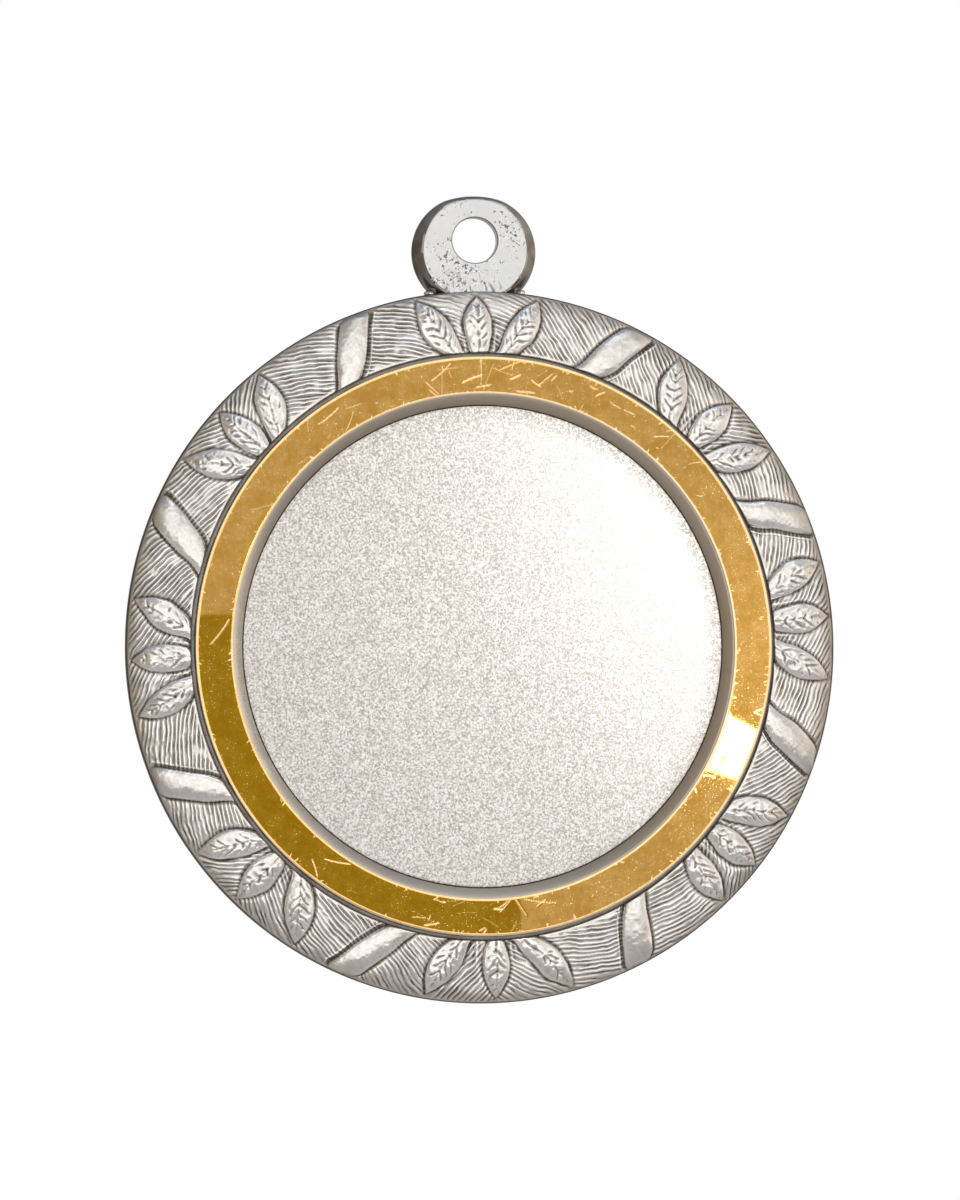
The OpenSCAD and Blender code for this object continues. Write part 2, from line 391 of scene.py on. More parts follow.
def strip(first, first_count, second, second_count):
    """Faces between two closed rows of points, whose counts are equal or a whole multiple."""
    if first_count == second_count:
        here = np.arange(first_count)
        there = (here + 1) % first_count
        return [np.stack([first + here, first + there, second + there, second + here], axis=1)]
    if first_count < second_count:
        return [faces[:, ::-1] for faces in strip(second, second_count, first, first_count)]
    step = first_count // second_count
    faces = []
    for coarse in range(second_count):
        mine, next_one = second + coarse, second + (coarse + 1) % second_count
        for k in range(step):
            fine = first + (coarse * step + k) % first_count
            after = first + (coarse * step + k + 1) % first_count
            faces.append((fine, after, mine if k < step // 2 else next_one))
            if k == step // 2 - 1:
                faces.append((after, next_one, mine))
    return [np.array(faces)]


def turned(name, rows, closed, keys):
    """A mesh from closed rows of points, each a dict with u, v, h and the named values.

    Open rows are capped with a point in the middle at both ends. Closed rows join into a tube.
    """
    points, faces, values = [], [], {key: [] for key in keys}
    starts, counts = [], []
    total = 0
    for row in rows:
        count = len(row["u"])
        points.append(place(row["u"], row["v"], row["h"]))
        for key in keys:
            values[key].append(np.broadcast_to(row.get(key, 0.0), (count,)))
        starts.append(total)
        counts.append(count)
        total += count
    for k in range(len(rows) - 1):
        faces += strip(starts[k], counts[k], starts[k + 1], counts[k + 1])
    if closed:
        faces += strip(starts[-1], counts[-1], starts[0], counts[0])
    else:
        for row, start, count, flip in ((rows[0], starts[0], counts[0], True),
                                        (rows[-1], starts[-1], counts[-1], False)):
            middle = place(row["u"].mean(), row["v"].mean(), row["h"].mean())
            points.append(middle[None])
            for key in keys:
                values[key].append(np.array([np.mean(row.get(key, 0.0))]))
            here = start + np.arange(count)
            there = start + (np.arange(count) + 1) % count
            cap = np.stack([here, there, np.full(count, total)], axis=1)
            faces.append(cap[:, ::-1] if flip else cap)
            total += 1
    points = np.concatenate(points)
    values = {key: np.concatenate(parts) for key, parts in values.items()}
    corners = np.concatenate([np.stack([f[:, 0], f[:, k], f[:, k + 1]], axis=1)
                              for f in faces for k in range(1, f.shape[1] - 1)])
    a, b, c = (points[corners[:, k]] for k in range(3))
    if np.einsum("ij,ij->i", a, np.cross(b, c)).sum() < 0:
        faces = [f[:, ::-1] for f in faces]
    return make_mesh(name, points, faces, values)


def angles(count):
    return np.arange(count) * 360 / count


def circle_row(r, h, count=COARSE, **values):
    """A closed round row of points for turned()."""
    u, v = polar(angles(count), r)
    return {"u": u, "v": v, "h": np.broadcast_to(h, (count,)).astype(float), **values}


def lug_outline(angle, inset):
    """Points of the lug's outline, moved in by inset."""
    side, up = polar(angle, 1.0)
    return (LUG_FLAT * np.clip(2.5 * side, -1, 1) + (LUG_ROUND - inset) * side,
            LUG_V + (LUG_ROUND - inset) * up)


def in_lug(u, v, gap):
    """True inside the lug's outline grown by gap."""
    aside = np.maximum(np.abs(u) - LUG_FLAT, 0)
    return np.hypot(aside, v - LUG_V) < LUG_ROUND + gap


def back_rows(angle):
    """The recess in the back, the back rim and the plain side wall, up to the border's foot."""
    rows = []
    for r, h, groove in [
        (3, BACK_RECESS, 0.15), (9, BACK_RECESS, 0.15), (16, BACK_RECESS, 0.15),
        (22, BACK_RECESS, 0.2), (BACK_RECESS_R - 0.5, BACK_RECESS, 0.3),
        (BACK_RECESS_R - SOFT, BACK_RECESS, 0.9), (BACK_RECESS_R, BACK_RECESS - SOFT, 0.9),
        (BACK_RECESS_R, SOFT, 0.2), (BACK_RECESS_R + SOFT, 0, 0.0),
        (BACK_RECESS_R + 0.4, 0, 0.1), (29, 0, 0.1), (33, 0, 0.1),
    ]:
        rows.append(circle_row(r, h, groove=groove))
    # the outer part of the back rim, with the end of the pocket that the lug sits in
    for r in np.arange(POCKET_FROM_R, BODY_R - BACK_EDGE + 0.01, 0.1):
        pocket = in_lug(*polar(angle, r), POCKET_GAP)
        rows.append(circle_row(r, np.where(pocket, POCKET_H, 0.0), FINE, groove=np.where(pocket, 1.0, 0.1)))
    for degrees in (20, 45, 70, 90):
        side, up = math.sin(math.radians(degrees)), math.cos(math.radians(degrees))
        rows.append(circle_row(BODY_R - BACK_EDGE + BACK_EDGE * side, BACK_EDGE - BACK_EDGE * up, FINE,
                               groove=0.1, crest=0.3))
    for h in (0.7, 1.2, SIDE_H - 0.15):
        rows.append(circle_row(BODY_R, h, FINE, groove=0.8))
    return rows


def border_rows(angle):
    """The domed border: an elliptical quarter round that carries the relief.

    Dark patina is left where the relief lies below its blurred surroundings. The plate is also darker along
    the rim and over the outer part of the border, more at the right, and is rubbed bright where it stands
    above its surroundings.
    """
    width, rise = BODY_R - BORDER_R, CROWN_H - SIDE_H
    even = np.linspace(0, math.pi / 2, 2000)
    steps = np.hypot(np.diff(width * np.cos(even)), np.diff(rise * np.sin(even)))
    arc = np.concatenate([[0], np.cumsum(steps)])
    t = np.interp(np.linspace(0, arc[-1], BORDER_ROWS), arc, even)[:, None]
    r = BORDER_R + width * np.cos(t) + 0 * angle
    h = SIDE_H + rise * np.sin(t) + 0 * angle
    out, up = rise * np.cos(t), width * np.sin(t)
    out, up = out / np.hypot(out, up), up / np.hypot(out, up)
    relief = border_relief(0 * t + angle, r)

    row_mm, column_mm = arc[-1] / BORDER_ROWS, 2 * math.pi * MEAN_R / FINE
    level = blurred(relief, 0.24 / row_mm, 0.24 / column_mm)
    fine_level = blurred(relief, 0.10 / row_mm, 0.10 / column_mm)
    below = np.clip((level - relief) / 0.12, 0, 1)
    just_below = np.clip((fine_level - relief) / 0.05, 0, 1)
    crest = np.clip((relief - level) / 0.06, 0, 1)
    right = bell(turn(angle - 85), 60)
    edge_w = 0.08 + 0.10 * right
    edge = smoothstep(BODY_R - edge_w - 0.12, BODY_R - edge_w + 0.04, r)
    outer = smoothstep(MEAN_R + 1.2, BODY_R - 0.2, r)
    groove = np.maximum(0.6 * below + 0.4 * just_below, edge)
    groove = np.clip(groove + (0.10 + 0.30 * right) * outer, 0, 1)

    u, v = polar(angle, r + relief * out)
    h = h + relief * up
    return [{"u": u[k], "v": v[k], "h": h[k], "groove": groove[k], "crest": crest[k],
             "stain": 0.45 * outer[k]} for k in range(BORDER_ROWS)]


def seat_rows():
    """The channel, the land under the gold ring, the sloping mouth and the seat under the disc.

    The mouth is stained; low on the left the stain is taken away as painted light, so that side looks
    lighter.
    """
    # painted light: the mouth's stain is taken away low on the left, so that side looks lighter
    painted_light_left = bell(turn(angles(COARSE) - 250), 60)
    rows = []
    for r, h, groove, stain in [
        (BORDER_R, CHANNEL_H + SOFT, 0.6, 0.2), (BORDER_R - SOFT, CHANNEL_H, 0.6, 0.2),
        (RING_OUT_R + SOFT, CHANNEL_H, 0.6, 0.2), (RING_OUT_R, CHANNEL_H + SOFT, 0.6, 0.2),
        (RING_OUT_R, LAND_TOP - SOFT, 0.6, 0.2), (RING_OUT_R - SOFT, LAND_TOP, 0.5, 0.2),
        (RING_OUT_R - 1, LAND_TOP, 0.2, 0.5), (MOUTH_R + SOFT, LAND_TOP, 0.0, 1.0),
        (MOUTH_R - SOFT, LAND_TOP - SOFT, 0.0, 1.0), (SEAT_R + 0.5, DISC_TOP + 0.55, 0.0, 1.0),
        (SEAT_R + 0.1, DISC_TOP + 0.11, 0.1, 1.0), (SEAT_R, DISC_TOP - 0.02, 0.45, 1.0),
        (SEAT_R, DISC_TOP - 0.1, 0.8, 1.0), (SEAT_R, DISC_TOP - 0.3, 1.0, 1.0),
        (SEAT_R, SEAT_H + SOFT, 1.0, 1.0), (SEAT_R - SOFT, SEAT_H, 1.0, 1.0),
        (20, SEAT_H, 0.6, 0.5), (10, SEAT_H, 0.6, 0.5), (3, SEAT_H, 0.6, 0.5),
    ]:
        rows.append(circle_row(r, h, groove=groove, stain=stain * (1 - 0.95 * painted_light_left)))
    return rows


def medal_body():
    angle = angles(FINE)
    rows = back_rows(angle) + border_rows(angle) + seat_rows()
    return turned("cast_body", rows, False, ("groove", "crest", "stain"))


def scratch_field(angle, r, count, seed, choose):
    """Fine scratches on a ring: choose(rng) gives each one's angle, radius, length, lean and width."""
    rng = np.random.default_rng(seed)
    marks = np.zeros_like(r)
    u, v = polar(angle, r)
    for _ in range(count):
        at, radius, length, lean, width = choose(rng)
        near = np.abs(turn(angle[0] - at)) < math.degrees(length / radius) / 2 + 1
        middle = polar(at, radius)
        heading = math.radians(at + lean)
        end = middle[0] + length / 2 * math.sin(heading), middle[1] + length / 2 * math.cos(heading)
        start = 2 * middle[0] - end[0], 2 * middle[1] - end[1]
        along, across, _ = along_across(u[:, near], v[:, near], start, end)
        across = across - rng.uniform(-0.12, 0.12) * np.sin(np.pi * along / length)
        depth = rng.uniform(0.3, 1.0) ** 1.5
        fade = smoothstep(-0.05, 0.25, along) * smoothstep(length + 0.05, length - 0.3, along)
        marks[:, near] = np.maximum(marks[:, near], depth * fade * bell(across, width))
    return marks


def long_scratch(rng):
    """Mostly over the top of the ring, with some at the bottom."""
    at = rng.choice([rng.normal(18, 20), rng.normal(182, 9), rng.uniform(0, 360)], p=[0.5, 0.15, 0.35])
    length = rng.gamma(2.2, 0.6) + 0.3
    radius = rng.uniform(RING_IN_R + 0.4, RING_OUT_R - 0.4)
    return at, radius, length, rng.normal(75, 40), rng.uniform(0.035, 0.065)


def edge_nick(rng):
    """Short marks that run in from either edge."""
    radius = rng.choice([RING_IN_R + 0.3, RING_OUT_R - 0.3]) + rng.uniform(-0.15, 0.15)
    return rng.uniform(0, 360), radius, rng.uniform(0.3, 0.9), rng.normal(0, 35), rng.uniform(0.04, 0.07)


def gold_ring():
    """A flat ring whose face dips to a small rounded edge on both sides, where it is worn pale."""
    lip, drop, bevel, base_gap = 0.13, 0.03, 0.08, 0.02
    edge = [(0.0, RING_BASE + base_gap), (0.0, RING_TOP - drop - bevel)]
    for degrees in (30, 60):
        fall, side = 1 - math.sin(math.radians(degrees)), math.cos(math.radians(degrees))
        edge.append((bevel - bevel * side, RING_TOP - drop - bevel * fall))
    edge += [(bevel + lip * share, RING_TOP - drop * (1 - share)) for share in np.linspace(0, 1, 4)[:-1]]
    profile = [(RING_IN_R + aside, h) for aside, h in edge]
    profile += [(r, RING_TOP) for r in np.linspace(RING_IN_R + bevel + lip, RING_OUT_R - bevel - lip, 40)]
    profile += [(RING_OUT_R - aside, h) for aside, h in edge[::-1]]
    angle = angles(FINE)
    r = np.array([p[0] for p in profile])[:, None] + 0 * angle
    h = np.array([p[1] for p in profile])[:, None] + 0 * angle
    around = 0 * r + angle
    u, v = polar(around, r)

    marks = scratch_field(around, r, 90, 31, long_scratch)
    nicks = scratch_field(around, r, 260, 32, edge_nick)
    from_edge = np.minimum(r - RING_IN_R, RING_OUT_R - r)
    ragged = 0.20 + 0.03 * noise(u, v, 0.45, 33) + 0.03 * noise(u, v, 0.16, 34)
    rubbed = 0.78 + 0.22 * np.cos(np.radians(around - 70))
    wear = np.maximum(rubbed * smoothstep(ragged + 0.05, ragged - 0.05, from_edge), nicks)
    dents = 0.0004 * noise(u, v, 3.5, 35)
    h = h + dents * smoothstep(0.1, 0.4, from_edge) - 0.003 * marks

    rows = [{"u": u[k], "v": v[k], "h": h[k], "scratch": marks[k], "wear": wear[k]} for k in range(len(r))]
    rows.append(circle_row(RING_OUT_R - SOFT, RING_BASE))
    rows.append(circle_row(RING_IN_R + SOFT, RING_BASE))
    return turned("polished_ring", rows, True, ("scratch", "wear"))


def centre_disc():
    """A thin disc whose rolled top edge nearly closes the seat's mouth.

    Its named values: edge is painted shadow along its edge, most at the upper right, standing for the seat
    wall's shade; the second is painted light, how far the grain's dark dots are painted pale, which grows to
    the right and upwards.
    """
    roll, lip = 0.06, SEAT_R - DISC_GAP
    rows = [circle_row(2.0, DISC_BASE), circle_row(DISC_R - 0.1, DISC_BASE),
            circle_row(DISC_R, DISC_BASE + 0.08), circle_row(DISC_R, DISC_TOP - 0.3)]
    for degrees in (0, 30, 60):
        side, up = math.cos(math.radians(degrees)), math.sin(math.radians(degrees))
        # painted shadow: the rolled edge is painted dark all round
        rows.append(circle_row(lip - roll + roll * side, DISC_TOP - roll + roll * up, edge=1.0))
    angle = angles(COARSE)
    for r in np.linspace(lip - roll, 0.5, 110):
        u, v = polar(angle, r)
        # painted shadow along the disc's edge, most at the upper right, where the seat's wall would shade it
        edge = smoothstep(SEAT_R - 2.2, SEAT_R - 0.1, r) * bell(turn(angle - 60), 80)
        # painted light: the grain's dark dots are painted paler towards the upper right, where the light
        # falls
        bare = smoothstep(-2, 26, u + 0.45 * v)
        rows.append(circle_row(r, DISC_TOP + 0.004 * noise(u, v, 9.0, 41), edge=edge, bare=bare))
    return turned("blasted_disc", rows, False, ("edge", "bare"))


def lug_face(u, v, share):
    """A row of the lug's face between its hole, at share 0, and its bevel, at share 1."""
    # pits gather low on the left and high on the right; creases run up from the foot
    low_left = bell(np.hypot(u + 2.2, v - HOLE_V + 3.6), 2.6)
    high_right = bell(np.hypot(u - 3.1, v - HOLE_V - 0.9), 1.9)
    gather = np.clip(low_left + high_right, 0, 1)
    speck = 0.65 * noise(u, v, 0.12, 51) + 0.52 * noise(u, v, 0.28, 52)
    pits = smoothstep(0.66, 0.84, speck + 0.38 * gather)
    foot = smoothstep(HOLE_V - 2.8, HOLE_V - 4.6, v) * smoothstep(4.5, 2.5, np.abs(u + 0.6))
    lines = np.abs(noise(u * 2.4 + 0.5 * v, v * 0.45, 0.5, 53) + 0.25 * noise(u, v, 0.4, 56))
    creases = smoothstep(0.26, 0.08, lines) * foot * smoothstep(-0.7, -0.1, noise(u, v, 0.7, 57))
    worn = np.clip(pits + 0.8 * creases, 0, 1)
    h = LUG_TOP - 0.03 * worn + 0.008 * noise(u, v, 1.6, 54)
    # painted shade: the face is painted a little darker where it meets the bevel on its upper part
    top_edge = smoothstep(0.88, 1.0, share) * smoothstep(LUG_V + 0.5, LUG_V + 4.5, v)
    return {"u": u, "v": v, "h": h, "pits": worn, "stain": 0.35 * top_edge}


def lug():
    """A flat lug with a round hole and a rounded bevel, which is narrowest at the top. The bevel is painted
    dark as painted shade, standing for the dark reflection of a rounded edge, less so at the top; the hole's
    edges are darkened too.
    """
    angle = angles(LUG_COLUMNS)
    side_part, up_part = polar(angle, 1.0)
    top = np.maximum(up_part, 0) ** 2
    bevel = 1.12 - 0.70 * top
    hole_edge = 0.1

    def hole(r, h, **values):
        return {"u": r * side_part, "v": HOLE_V + r * up_part, "h": np.full(LUG_COLUMNS, float(h)), **values}

    def outline(inset, h, **values):
        u, v = lug_outline(angle, inset)
        return {"u": u, "v": v, "h": np.full(LUG_COLUMNS, float(h)), **values}

    def between(inner, outer, share):
        return [inner[key] * (1 - share) + outer[key] * share for key in ("u", "v")]

    rows = [hole(HOLE_R, LUG_BASE + hole_edge, stain=0.5), hole(HOLE_R, LUG_TOP - hole_edge, stain=0.2),
            hole(HOLE_R + 0.03, LUG_TOP - 0.03, stain=0.7), hole(HOLE_R + hole_edge, LUG_TOP, stain=0.6)]
    inner, outer = hole(HOLE_R + hole_edge, LUG_TOP), outline(bevel, LUG_TOP)
    for share in np.linspace(0, 1, 60)[1:]:
        rows.append(lug_face(*between(inner, outer, share), share))
    # the bevel: an arc that falls BEVEL_FALL from the face to the side
    steep = math.radians(50)
    for tilt in np.radians([50, 44, 38, 31, 24, 16, 8, 0]):
        side = (math.cos(tilt) - math.cos(steep)) / (1 - math.cos(steep))
        fall = BEVEL_FALL * (math.sin(steep) - math.sin(tilt)) / math.sin(steep)
        row = outline(bevel - bevel * side, 0)
        # painted shade: the bevel's darkness is painted on, standing for the dark surroundings that a
        # rounded edge reflects, and is lighter at the top
        stain = smoothstep(-0.2, 0.1, side) * (0.85 + 0.15 * noise(row["u"], row["v"], 0.8, 58))
        row["stain"] = stain * (1 - 0.35 * top)
        row["h"] = LUG_TOP - fall + 0.03 * noise(row["u"], row["v"], 1.4, 55) * side
        rows.append(row)
    rows += [outline(0, LUG_BASE + 0.2, stain=0.3), outline(0.06, LUG_BASE + 0.06), outline(0.2, LUG_BASE)]
    back_out, back_in = outline(0.2, LUG_BASE), hole(HOLE_R + hole_edge, LUG_BASE)
    for share in (0.1, 0.3, 0.5, 0.7, 0.9, 1.0):
        u, v = between(back_out, back_in, share)
        rows.append({"u": u, "v": v, "h": np.full(LUG_COLUMNS, LUG_BASE)})
    return turned("stamped_lug", rows, True, ("pits", "stain"))


def solder_bead(name, side):
    """A lumpy bead of solder in the corner between the lug and the rim: side is -1 left and 1 right."""
    corner_u, corner_v, corner_h = 4.62 * side, 37.22, 1.0
    half_u, half_v, half_h = 0.62, 0.40, 0.78
    rows = []
    for up in np.linspace(-80, 80, 15):
        ring_side, ring_up = polar(angles(48), math.cos(math.radians(up)))
        lump = 1 + 0.16 * noise(ring_side * 2 + side * 9, ring_up * 2 + up / 25, 0.7, 61)
        rows.append({
            "u": corner_u + half_u * lump * ring_side + 0.15 * side,
            "v": corner_v + half_v * lump * ring_up + 0.12 * lump * ring_side * side,
            "h": corner_h + half_h * math.sin(math.radians(up)) * lump,
        })
    return turned(name, rows, False, ())


# ---- Materials ------------------------------------------------------------------------------


class Tree:
    """Short calls that add nodes to one shader tree."""

    def __init__(self, owner):
        owner.use_nodes = True
        self.tree = owner.node_tree
        self.tree.nodes.clear()

    def node(self, kind, inputs=(), **settings):
        made = self.tree.nodes.new(kind)
        for key, value in settings.items():
            setattr(made, key, value)
        for key, value in dict(inputs).items():
            if isinstance(value, bpy.types.NodeSocket):
                self.tree.links.new(value, made.inputs[key])
            else:
                made.inputs[key].default_value = value
        return made

    def math(self, operation, *values, clamp=False):
        made = self.node("ShaderNodeMath", dict(enumerate(values)), operation=operation, use_clamp=clamp)
        return made.outputs[0]

    def mix(self, share, a, b):
        """Mixes two colours, each a socket or a red, green and blue."""
        a, b = (c if isinstance(c, bpy.types.NodeSocket) else (*c, 1) for c in (a, b))
        made = self.node("ShaderNodeMix", {0: share, 6: a, 7: b}, data_type="RGBA")
        return made.outputs[2]

    def mix_value(self, share, a, b):
        return self.node("ShaderNodeMix", {0: share, 2: a, 3: b}, data_type="FLOAT").outputs[0]

    def band(self, value, low, high, to_low=0.0, to_high=1.0):
        """A soft step of the value between low and high; low may be the larger one."""
        made = self.node("ShaderNodeMapRange", {0: value, 1: low, 2: high, 3: to_low, 4: to_high},
                         interpolation_type="SMOOTHSTEP")
        return made.outputs[0]

    def attribute(self, name):
        return self.node("ShaderNodeAttribute", attribute_name=name).outputs["Fac"]

    def place(self):
        return self.node("ShaderNodeTexCoord").outputs["Object"]

    def noise(self, size_mm, detail=2.0, rough=0.5):
        made = self.node("ShaderNodeTexNoise", {"Vector": self.place(), "Scale": 1 / (size_mm * MM),
                                               "Detail": detail, "Roughness": rough})
        return made.outputs["Fac"]

    def bump(self, height, strength, distance_mm, normal=None):
        inputs = {"Height": height, "Strength": strength, "Distance": distance_mm * MM}
        if normal is not None:
            inputs["Normal"] = normal
        return self.node("ShaderNodeBump", inputs).outputs["Normal"]

    def surface(self, **inputs):
        named = {key.replace("_", " "): value for key, value in inputs.items()}
        shader = self.node("ShaderNodeBsdfPrincipled", named)
        self.node("ShaderNodeOutputMaterial", {"Surface": shader.outputs[0]})


def new_material(name):
    material = bpy.data.materials.new(name)
    return material, Tree(material)


def antique_silver():
    """Cast zinc alloy with bright silver plate rubbed back from a dark patina."""
    material, t = new_material("antique_silver")
    groove, crest, stain = t.attribute("groove"), t.attribute("crest"), t.attribute("stain")
    grain, cloud = t.noise(0.16, 3.0, 0.6), t.noise(2.6, 3.0, 0.55)
    tarnish = t.math("MULTIPLY", t.band(cloud, 0.35, 0.75), 0.15)
    patina = t.math("MULTIPLY", groove, t.band(grain, 0.15, 0.6, 0.7, 1.0))
    dark = t.math("ADD", patina, tarnish, clamp=True)
    bright = t.mix(t.band(grain, 0.3, 0.7), (0.665, 0.64, 0.60), (0.80, 0.772, 0.732))
    bright = t.mix(crest, bright, (1.0, 0.98, 0.95))
    stained = t.mix(t.band(cloud, 0.3, 0.7), (0.53, 0.45, 0.355), (0.61, 0.53, 0.43))
    bright = t.mix(stain, bright, stained)
    colour = t.mix(dark, bright, (0.125, 0.105, 0.085))
    rough = t.mix_value(crest, t.band(grain, 0.3, 0.75, 0.20, 0.30), 0.12)
    rough = t.mix_value(dark, t.mix_value(stain, rough, 0.42), 0.6)
    t.surface(Base_Color=colour, Metallic=1.0, Roughness=rough, Normal=t.bump(grain, 0.35, 0.02))
    return material


def bright_gold():
    """Gold-coloured polished metal, with pale scratches, specks and worn edges."""
    material, t = new_material("bright_gold")
    scratch, wear = t.attribute("scratch"), t.attribute("wear")
    cloud, mottle, speck = t.noise(1.6, 4.0, 0.65), t.noise(0.5, 3.0, 0.6), t.noise(0.17, 1.0, 0.5)
    gold = t.mix(t.band(cloud, 0.3, 0.7), (0.83, 0.43, 0.07), (0.99, 0.56, 0.135))
    gold = t.mix(t.math("MULTIPLY", t.band(mottle, 0.5, 0.72), 0.35), gold, (1.0, 0.68, 0.30))
    specks = t.math("MULTIPLY", t.band(speck, 0.64, 0.74), t.band(cloud, 0.35, 0.65, 0.1, 0.6))
    pale = t.math("MAXIMUM", t.math("MULTIPLY", scratch, 0.9), t.math("MULTIPLY", wear, 0.95))
    pale = t.math("MAXIMUM", pale, specks, clamp=True)
    colour = t.mix(pale, gold, (1.0, 0.86, 0.62))
    rough = t.mix_value(pale, t.band(mottle, 0.3, 0.8, 0.004, 0.012), 0.4)
    t.surface(Base_Color=colour, Metallic=1.0, Roughness=rough)
    return material


def blasted_silver():
    """Blasted plate: a fine grain of dark dots, painted paler towards the upper right as painted light,
    painted shadow along its edge, faint clouds and a few pits.
    """
    material, t = new_material("blasted_silver")
    grain, fine, cloud = t.noise(0.185, 1.5, 0.5), t.noise(0.10, 1.0, 0.5), t.noise(5.0, 3.0, 0.6)
    spots = t.node("ShaderNodeTexVoronoi", {"Vector": t.place(), "Scale": 1 / (2.6 * MM)}, feature="F1")
    draw = t.node("ShaderNodeSeparateColor", {"Color": spots.outputs["Color"]}).outputs[0]
    chosen = t.math("GREATER_THAN", draw, 0.80)
    pit = t.math("MULTIPLY", t.band(spots.outputs["Distance"], 0.07, 0.03), chosen)
    both = t.math("ADD", t.math("MULTIPLY", grain, 0.65), t.math("MULTIPLY", fine, 0.35))
    # painted light: the dark dots are painted paler towards the upper right
    dots = t.mix(t.attribute("bare"), (0.315, 0.288, 0.262), (0.51, 0.485, 0.456))
    colour = t.mix(t.band(both, 0.34, 0.66), dots, (0.69, 0.672, 0.648))
    # painted shadow along the disc's edge, where the seat's wall would shade it
    painted_wall_shadow = t.math("MULTIPLY", t.attribute("edge"), t.band(both, 0.65, 0.40, 0.1, 0.8))
    colour = t.mix(painted_wall_shadow, colour, (0.22, 0.19, 0.16))
    colour = t.mix(t.math("MULTIPLY", t.band(cloud, 0.4, 0.7), 0.12), colour, (0.47, 0.437, 0.41))
    colour = t.mix(t.math("MULTIPLY", pit, 0.6), colour, (0.20, 0.18, 0.17))
    rough = t.band(both, 0.3, 0.7, 0.40, 0.33)
    normal = t.bump(both, 0.6, 0.04, t.bump(pit, -0.6, 0.03))
    t.surface(Base_Color=colour, Metallic=1.0, Roughness=rough, Normal=normal)
    return material


def plated_silver():
    """The lug's smoother plate, painted dark round its edge as painted shade, with dark pits and creases."""
    material, t = new_material("plated_silver")
    pits, stain = t.attribute("pits"), t.attribute("stain")
    grain, cloud = t.noise(0.13, 2.0, 0.6), t.noise(1.8, 3.0, 0.6)
    plate = t.mix(t.band(cloud, 0.3, 0.7), (0.60, 0.605, 0.605), (0.63, 0.635, 0.635))
    # painted shade: the dark colour painted on the bevel and round the hole
    stained = t.mix(t.band(grain, 0.3, 0.7), (0.13, 0.112, 0.095), (0.195, 0.172, 0.147))
    plate = t.mix(stain, plate, stained)
    colour = t.mix(t.math("MULTIPLY", pits, 0.70), plate, (0.12, 0.11, 0.10))
    rough = t.mix_value(pits, t.band(grain, 0.3, 0.7, 0.18, 0.24), 0.7)
    t.surface(Base_Color=colour, Metallic=1.0, Roughness=rough, Normal=t.bump(grain, 0.10, 0.02))
    return material


def solder_metal():
    """Bright lumpy solder."""
    material, t = new_material("solder")
    lumps, grain = t.noise(0.35, 3.0, 0.6), t.noise(0.1, 2.0, 0.6)
    colour = t.mix(t.band(lumps, 0.3, 0.7), (0.74, 0.74, 0.74), (0.93, 0.93, 0.93))
    t.surface(Base_Color=colour, Metallic=1.0, Roughness=t.band(grain, 0.3, 0.7, 0.22, 0.4),
              Normal=t.bump(lumps, 0.5, 0.05))
    return material


def adhesive_film():
    """Cloudy yellowish adhesive."""
    material, t = new_material("adhesive")
    cloud, grain = t.noise(0.8, 3.0, 0.6), t.noise(0.15, 2.0, 0.6)
    colour = t.mix(t.band(cloud, 0.3, 0.7), (0.80, 0.76, 0.66), (0.90, 0.87, 0.80))
    t.surface(Base_Color=colour, Roughness=t.band(grain, 0.3, 0.7, 0.45, 0.65),
              Normal=t.bump(cloud, 0.3, 0.03))
    return material


def floor_paper():
    """Off-white paper far below the medal."""
    material, t = new_material("floor_paper")
    fibre = t.noise(3.0, 4.0, 0.6)
    colour = t.mix(t.band(fibre, 0.3, 0.7), (0.90, 0.885, 0.865), (0.94, 0.925, 0.905))
    t.surface(Base_Color=colour, Roughness=t.band(fibre, 0.3, 0.7, 0.75, 0.9))
    return material


# ---- Pieces ---------------------------------------------------------------------------------


def put(piece, material, node):
    """Gives a piece its material, hangs it under the root body and hides the CAD node it stands for, if one
    is given.
    """
    piece.data.materials.append(material)
    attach(piece, "root")
    if node:
        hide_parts(node)


put(medal_body(), antique_silver(), "medal_body")
put(gold_ring(), bright_gold(), "gold_ring")
put(centre_disc(), blasted_silver(), "centre_disc")
put(lug(), plated_silver(), "lug")
solder = solder_metal()
put(solder_bead("solder_bead_left", -1), solder, "lug_solder")
put(solder_bead("solder_bead_right", 1), solder, None)
film = adhesive_film()
for name in ("ring_adhesive", "disc_adhesive"):
    for material_slot in frame["nodes"][name].material_slots:
        material_slot.material = film

# ---- Camera ---------------------------------------------------------------------------------

AZIMUTH, ELEVATION, ROLL = math.radians(-6.78), math.radians(-1.34), math.radians(0.976)
DISTANCE = 0.75
FRAME_HEIGHT = 0.12626              # the view's height where the rim is widest
SENSOR = 36
AIM_FROM_CENTRE = (-0.000085, 0, 0.00492)

centre = Vector((CENTRE_X, BACK_Y - SIDE_H * MM, CENTRE_Z))
away = Vector((math.sin(AZIMUTH) * math.cos(ELEVATION), -math.cos(AZIMUTH) * math.cos(ELEVATION),
               math.sin(ELEVATION)))
camera_data = bpy.data.cameras.new("camera")
camera = bpy.data.objects.new("camera", camera_data)
bpy.context.scene.collection.objects.link(camera)
bpy.context.scene.camera = camera
camera_data.sensor_fit = "VERTICAL"
camera_data.sensor_width = camera_data.sensor_height = SENSOR
camera_data.lens = SENSOR * DISTANCE / FRAME_HEIGHT
camera_data.clip_start, camera_data.clip_end = 0.05, 20
camera.location = centre + away * DISTANCE
look = (centre + Vector(AIM_FROM_CENTRE) - camera.location).to_track_quat("-Z", "Y")
camera.rotation_mode = "QUATERNION"
camera.rotation_quaternion = look @ Quaternion((0, 0, 1), -ROLL)

# ---- Light ----------------------------------------------------------------------------------


